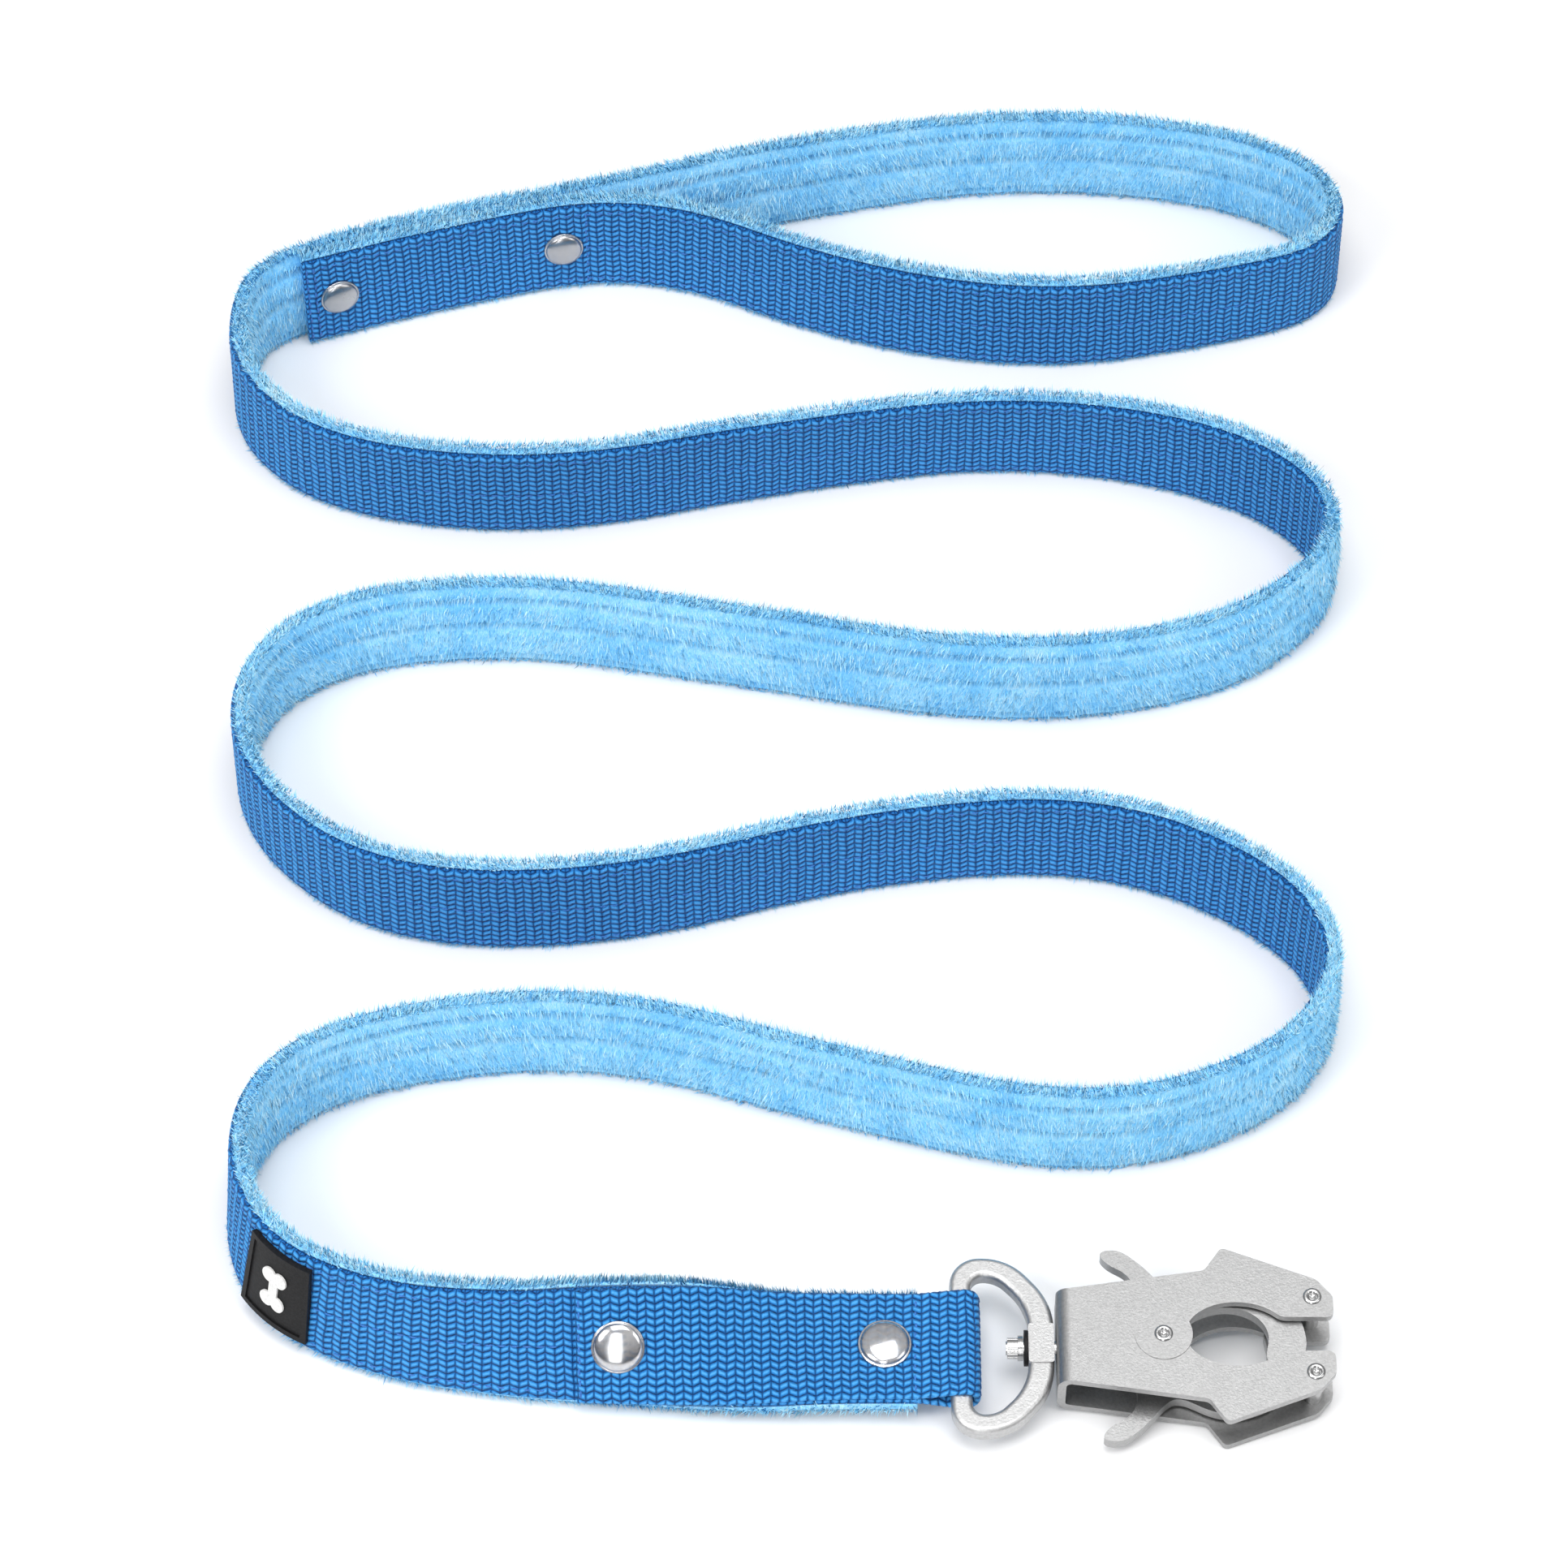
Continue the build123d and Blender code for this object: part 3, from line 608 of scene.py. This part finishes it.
plush_step_mm = 1.0
plush_s = np.arange(0, strap_length, plush_step_mm * MM)
edge_angle = np.linspace(-pi / 2, pi / 2, plush_profile_columns)
profile_side = sleeve_half_mm * np.sin(edge_angle)
along_grid, across_grid = np.meshgrid(plush_s * 1000, profile_side, indexing="ij")
front = plush_depth(across_grid, along_grid)
back_side = np.array([13.5, 13.3, 12.9, 12.7, 4, -4, -12.7, -12.9, -13.2, -13.4])
back_depth = np.array([-0.5, -0.9, -1.0, -0.38, -0.33, -0.33, -0.38, -1.1, -1.1, -0.6])
back = np.broadcast_to(back_depth, (len(plush_s), len(back_side)))
plush_depths = np.concatenate([front, back], axis=1)
plush_sides = np.concatenate([across_grid, np.broadcast_to(back_side, back.shape)], axis=1)
plush_points = strap_place(plush_s[:, None] + 0 * plush_sides, plush_depths * MM, plush_sides * MM)
plush_uv = np.stack([np.broadcast_to(plush_s[:, None], plush_sides.shape), plush_sides * MM], axis=-1)
plush_piece = make_piece(
    "plush_lining",
    plush_points.reshape(-1, 3),
    grid_faces(len(plush_s), plush_depths.shape[1]),
    plush,
    "lead",
    plush_uv.reshape(-1, 2),
)
close_ends(plush_piece)
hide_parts("plush_sleeve")

strand_count = 260000
floor_gap = 0.0002
at = rng.uniform(0, strap_length, strand_count)
kind = rng.choice(3, strand_count, p=[0.52, 0.34, 0.14])
face, top, bottom = kind == 0, kind == 1, kind == 2


def by_kind(on_face, on_top, on_bottom):
    """A value for every strand: on the pile's face, its top edge or its bottom edge."""
    return np.select([face, top, bottom], [on_face, on_top, on_bottom])


def uniform(low, high):
    return rng.uniform(low, high, strand_count)


across = by_kind(uniform(-13.2, 13.2), uniform(12.7, 13.7), uniform(-13.6, -12.9))
root_depth = by_kind(plush_depth(across, at * 1000) - 0.1, uniform(-1.2, 1.9), uniform(-1.2, 1.5))
strand_length = by_kind(uniform(1.2, 2.6), uniform(1.0, 2.2), uniform(1.0, 2.2))
outward = by_kind(uniform(0.15, 0.6), uniform(-0.8, 0.7), uniform(-1.3, 0.5))
sideways = by_kind(rng.normal(-0.85, 0.25, strand_count), uniform(0.6, 1.0), uniform(-0.5, 0.1))
nap = 0.3 * np.sin(at * 1000 / 17) + rng.normal(0, 0.17, strand_count)
root = strap_place(at, root_depth * MM, across * MM)
tip_reach = strand_length / np.sqrt(outward**2 + sideways**2 + nap**2)
tip_at = np.clip(at + nap * tip_reach * MM, 0, strap_length)
tip_depth = root_depth + outward * tip_reach
tip_side = across + sideways * tip_reach
tip = strap_place(tip_at, tip_depth * MM, tip_side * MM)
tip[:, 2] = np.maximum(tip[:, 2], floor_gap)
half_width = rng.uniform(0.1, 0.2, strand_count) * MM
spread = np.cross(tip - root, rng.normal(0, 1, (strand_count, 3)))
spread *= (half_width / np.linalg.norm(spread, axis=1))[:, None]
centre_line = strap_place(at, 0 * at, 0 * at)
surface = strap_place(at, by_kind(0.45, 0.0, 0.0), by_kind(0.9, 1.0, 1.0)) - centre_line
turned_away = (np.cross(spread, tip - root) * surface).sum(axis=1) < 0
spread[turned_away] *= -1
strand_points = np.stack([root - spread, root + spread, tip], axis=1).reshape(-1, 3)
strand_tone = np.repeat(rng.uniform(0, 1, strand_count), 3)
# The second coordinate runs from 0 at a fibre's root to 1 at its tip, for the painted shade at the
# roots.
strand_uv = np.stack([strand_tone, np.tile([0, 0, 1], strand_count)], axis=1)
pile_piece = make_piece(
    "plush_pile",
    strand_points,
    np.arange(3 * strand_count).reshape(-1, 3),
    plush_strands,
    "lead",
    strand_uv,
)
surface += rng.normal(0, 0.28, (strand_count, 3))
soft_normals = np.repeat(surface / np.linalg.norm(surface, axis=1)[:, None], 3, axis=0)
pile_piece.data.normals_split_custom_set_from_vertices(soft_normals.tolist())


# ---- stitching ---------------------------------------------------------------------------------
def thread_piece(name, starts, ends, sides, radius_mm):
    """Short threads from starts to ends, bulging to a side, as one mesh of little tubes."""
    rings = 5
    corners = 6
    share = np.linspace(0, 1, rings)
    swell = np.array([0.35, 0.9, 1.0, 0.9, 0.35])
    sunk = np.array([-0.9, 0.2, 0.55, 0.2, -0.9])
    starts, ends, sides = np.array(starts), np.array(ends), np.array(sides)
    centre = starts[:, None] + (ends - starts)[:, None] * share[None, :, None]
    centre = centre + sides[:, None] * (sunk * radius_mm * MM)[None, :, None]
    along = ends - starts
    along /= np.linalg.norm(along, axis=1)[:, None]
    width = np.cross(along, sides)
    angle = np.linspace(0, 2 * pi, corners, endpoint=False)
    ring = np.cos(angle)[:, None] * sides[:, None] + np.sin(angle)[:, None] * width[:, None]
    points = centre[:, :, None] + ring[:, None] * (swell * radius_mm * MM)[None, :, None, None]
    one = grid_faces(rings, corners)
    faces = one[None] + (np.arange(len(starts)) * rings * corners)[:, None, None]
    return make_piece(name, points.reshape(-1, 3), faces.reshape(-1, 4), thread, "lead")


def facing(distance):
    """The outward direction of the webbing's face at distances along the strap."""
    return -between(distance, s, to_plush)


stitch_pitch_mm = 2.7
thread_depth_mm = -1.95
long_starts, long_ends, long_sides = [], [], []
for row in stitch_rows_mm:
    places = np.arange(0.004, strap_length - 0.004, stitch_pitch_mm * MM)
    places = places[places > tail_length + 0.001]
    drift = 0.12 * np.sin(places * 180 + row)
    depths = np.full(len(places), thread_depth_mm * MM)
    thread_ends = places + 0.72 * stitch_pitch_mm * MM
    long_starts.extend(strap_place(places, depths, (row + drift) * MM))
    long_ends.extend(strap_place(thread_ends, depths, (row + drift) * MM))
    long_sides.extend(facing(places))
long_piece = thread_piece("lengthwise_stitching", long_starts, long_ends, long_sides, 0.2)


tail_face_mm = -3.62
tack_half_mm = 11.6
tack_pitch_mm = 2.55
tack_thread_mm = 2.1


def bar_tack(name, rows, node):
    """Rows of stitches across the strap, from each row's distance along it and depth."""
    starts, ends, sides = [], [], []
    for distance, depth_mm in rows:
        for low in np.arange(-tack_half_mm, tack_half_mm - 2, tack_pitch_mm):
            jitter = rng.uniform(-0.12, 0.12)
            begin = distance + jitter * MM
            starts.append(strap_place(begin, depth_mm * MM, low * MM))
            ends.append(strap_place(begin, depth_mm * MM, (low + tack_thread_mm) * MM))
            sides.append(facing(begin))
    made = thread_piece(name, starts, ends, sides, 0.28)
    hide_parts(node)
    return made


def distance_at(x_mm, y_mm, first, last):
    """Distance along the strap of its point nearest a place, between two distances."""
    keep = (s >= first) & (s <= last)
    gap = np.hypot(x[keep] - x_mm * MM, y[keep] - y_mm * MM)
    return s[keep][gap.argmin()]


handle_start = strap_length - 0.12
loop_row = distance_at(-125.9, 331, handle_start, strap_length)
clip_rows = [(0.0004, -3.58), (tail_length - 0.0012, tail_face_mm)]
clip_stitches = bar_tack("clip_end_bar_tack", clip_rows, "clip_end_stitching")
hem_rows = [(place, -1.98) for place in (strap_length - 0.0008, strap_length - 0.0027, loop_row)]
handle_stitches = bar_tack("hand_loop_bar_tack", hem_rows, "handle_stitching")


# ---- turned pieces: caps, posts and tubular rivets -----------------------------------------------
def turned(name, outlines, body, material, node):
    """Lathe-turned shapes in place of a node: for each, a place, an axis and an outline in mm."""
    segments = 64
    points, faces = [], []
    for place, axis, outline in outlines:
        axis = Vector(axis).normalized()
        first = axis.orthogonal().normalized()
        second = axis.cross(first)
        base = len(points)
        for radius, rise in outline:
            for k in range(segments):
                turn = 2 * pi * k / segments
                out = first * cos(turn) + second * sin(turn)
                points.append(Vector(place) + (out * max(radius, 0.004) + axis * rise) * MM)
        faces.extend(grid_faces(len(outline), segments) + base)
    made = make_piece(name, [p[:] for p in points], faces, material, body)
    close_ends(made)
    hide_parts(node)
    return made


def cap_outline(radius):
    """A domed rivet cap with a rolled rim, from its centre out and under."""
    dome = [(radius * 0.9 * sin(a), 0.62 + 1.38 * cos(a)) for a in np.linspace(0, pi / 2, 18)]
    rim = [(0.925, 0.5), (0.965, 0.58), (0.99, 0.42), (1, 0.22), (0.98, 0.03), (0.9, 0.0), (0, 0.0)]
    return [*dome, *[(radius * share, rise) for share, rise in rim]]


def rivet_seats(node):
    """The centres of a node's separate solids, in order along x."""
    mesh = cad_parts[node].data
    cad = bmesh.new()
    cad.from_mesh(mesh)
    cad.verts.ensure_lookup_table()
    left = set(range(len(cad.verts)))
    centres = []
    while left:
        stack, island = [left.pop()], []
        while stack:
            number = stack.pop()
            island.append(cad.verts[number].co.copy())
            for edge in cad.verts[number].link_edges:
                other = edge.other_vert(cad.verts[number]).index
                if other in left:
                    left.remove(other)
                    stack.append(other)
        if len(island) > 20:
            low = Vector([min(p[a] for p in island) for a in range(3)])
            high = Vector([max(p[a] for p in island) for a in range(3)])
            centres.append((low + high) / 2)
    cad.free()
    return sorted(centres, key=lambda c: c.x)


def cap_place(centre, first, last, depth_mm):
    """Seat and outward axis of a cap, on the strap's webbing side nearest its CAD solid."""
    distance = distance_at(centre.x * 1000, centre.y * 1000, first, last)
    return strap_place(distance, depth_mm * MM, 0.0), facing(distance)


# The thickness of the sewn layers between a front cap and its back cap.
clip_stack_mm = 5.9
loop_stack_mm = 8.6
clip_caps, clip_backs = [], []
for centre in rivet_seats("clip_rivet_caps"):
    place, axis = cap_place(centre, 0, 0.08, tail_face_mm)
    clip_caps.append((place, axis, cap_outline(5.8)))
    clip_backs.append((place - axis * clip_stack_mm * MM, -axis, cap_outline(5.5)))
loop_caps, loop_backs = [], []
for centre in rivet_seats("handle_rivet_caps"):
    place, axis = cap_place(centre, handle_start, strap_length, -2.1)
    loop_caps.append((place, axis, cap_outline(4.9)))
    loop_backs.append((place - axis * loop_stack_mm * MM, -axis, cap_outline(4.7)))
cap_pieces = [
    turned(name, outlines, "lead", material, node)
    for name, outlines, material, node in (
        ("clip_end_rivet_caps", clip_caps, chrome, "clip_rivet_caps"),
        ("clip_end_rivet_backs", clip_backs, chrome, "clip_rivet_posts"),
        ("hand_loop_rivet_caps", loop_caps, satin_chrome, "handle_rivet_caps"),
        ("hand_loop_rivet_backs", loop_backs, satin_chrome, "handle_rivet_posts"),
    )
]


def rolled_head(radius, base):
    """The outline of a tubular rivet's rolled head, from its hollow out to the plate."""
    return [
        (0.0, base - 0.5),
        (radius * 0.3, base - 0.42),
        (radius * 0.42, base - 0.1),
        (radius * 0.5, base + 0.3),
        (radius * 0.66, base + 0.46),
        (radius * 0.84, base + 0.4),
        (radius * 0.97, base + 0.2),
        (radius, base),
    ]


rivet_head_mm = 2.0
rivet_shaft_mm = 1.45
pivot_x_mm = 43.1
pivot_base_mm = 6.65
fork_x_mm = 75.2
fork_side_mm = 9.1


def double_headed(x_mm, y_mm, base):
    """A rivet through the clip with a rolled head on each plate, at a height from its middle."""
    top = rolled_head(rivet_head_mm, base)
    bottom = [(r, -z) for r, z in reversed(top)]
    outline = [*top, (rivet_shaft_mm, base), (rivet_shaft_mm, -base), *bottom]
    place = bar + Vector((x_mm, 0, 0)) * MM + tilt_across * y_mm * MM
    return (place, tilt_up, outline)


pivot_rivets = [double_headed(pivot_x_mm, 0, pivot_base_mm)]
fork_rivets = [
    double_headed(fork_x_mm, side, frame_half_thick_mm) for side in (fork_side_mm, -fork_side_mm)
]
turned("pivot_rolled_rivet", pivot_rivets, "clip", bright, "pivot_rivet")
turned("fork_rolled_rivets", fork_rivets, "clip", bright, "fork_rivets")

# ---- carried-over CAD nodes: materials, and small rounded edges ------------------------------------
finishes = {
    "d_ring": (cast, 0.0),
    "swivel_pin": (bright, 0.1),
    "swivel_thrust_washer": (rubber, 0.1),
    "swivel_washer": (bright, 0.12),
    "swivel_nut": (bright, 0.05),
    "clip_frame": (nickel, 0.28),
    "front_pivot_washer": (bright, 0.05),
    "back_pivot_washer": (bright, 0.05),
    "fork_spacers": (bright, 0.05),
    "torsion_spring": (spring_metal, 0.0),
    "upper_lever": (lever_metal, 0.3),
    "lower_lever": (lever_metal, 0.3),
    "tag_base": (rubber, 0.15),
    "tag_mark": (print_rubber, 0.1),
}
for node, (material, round_mm) in finishes.items():
    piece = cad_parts[node]
    piece.data.materials.clear()
    piece.data.materials.append(material)
    if round_mm:
        soft_edge = piece.modifiers.new("rounded_edges", "BEVEL")
        soft_edge.width = round_mm * MM
        soft_edge.segments = 2
        soft_edge.limit_method = "ANGLE"
        soft_edge.angle_limit = radians(35)

floor_mesh = bpy.data.meshes.new("floor")
reach = 6.0
corners = [(-reach, -reach, 0), (reach, -reach, 0), (reach, reach, 0), (-reach, reach, 0)]
floor_mesh.from_pydata(corners, [], [(0, 1, 2, 3)])
floor = bpy.data.objects.new("floor", floor_mesh)
floor.location.z = -floor_gap
paper = Nodes("pale_paper")
mottle = paper.noise(paper.object_coords(), 30, 3)
paper_stops = [(0.3, (0.86, 0.86, 0.865)), (0.7, (0.88, 0.88, 0.885))]
paper.set(Base_Color=paper.ramp(mottle, paper_stops), Roughness=0.9)
floor_mesh.materials.append(paper.material)
scene.collection.objects.link(floor)

world = bpy.data.worlds.new("sky")
world.use_nodes = True
sky = world.node_tree
direction = sky.nodes.new("ShaderNodeTexCoord")
split = sky.nodes.new("ShaderNodeSeparateXYZ")
gradient = sky.nodes.new("ShaderNodeValToRGB")
gradient.color_ramp.elements[0].position = 0.12
gradient.color_ramp.elements[0].color = (0.16, 0.165, 0.175, 1)
gradient.color_ramp.elements[1].position = 0.7
gradient.color_ramp.elements[1].color = (1, 1, 1, 1)
sky.links.new(direction.outputs["Generated"], split.inputs[0])
sky.links.new(split.outputs["Z"], gradient.inputs["Fac"])
sky.links.new(gradient.outputs["Color"], sky.nodes["Background"].inputs["Color"])
sky.nodes["Background"].inputs["Strength"].default_value = 0.66
scene.world = world
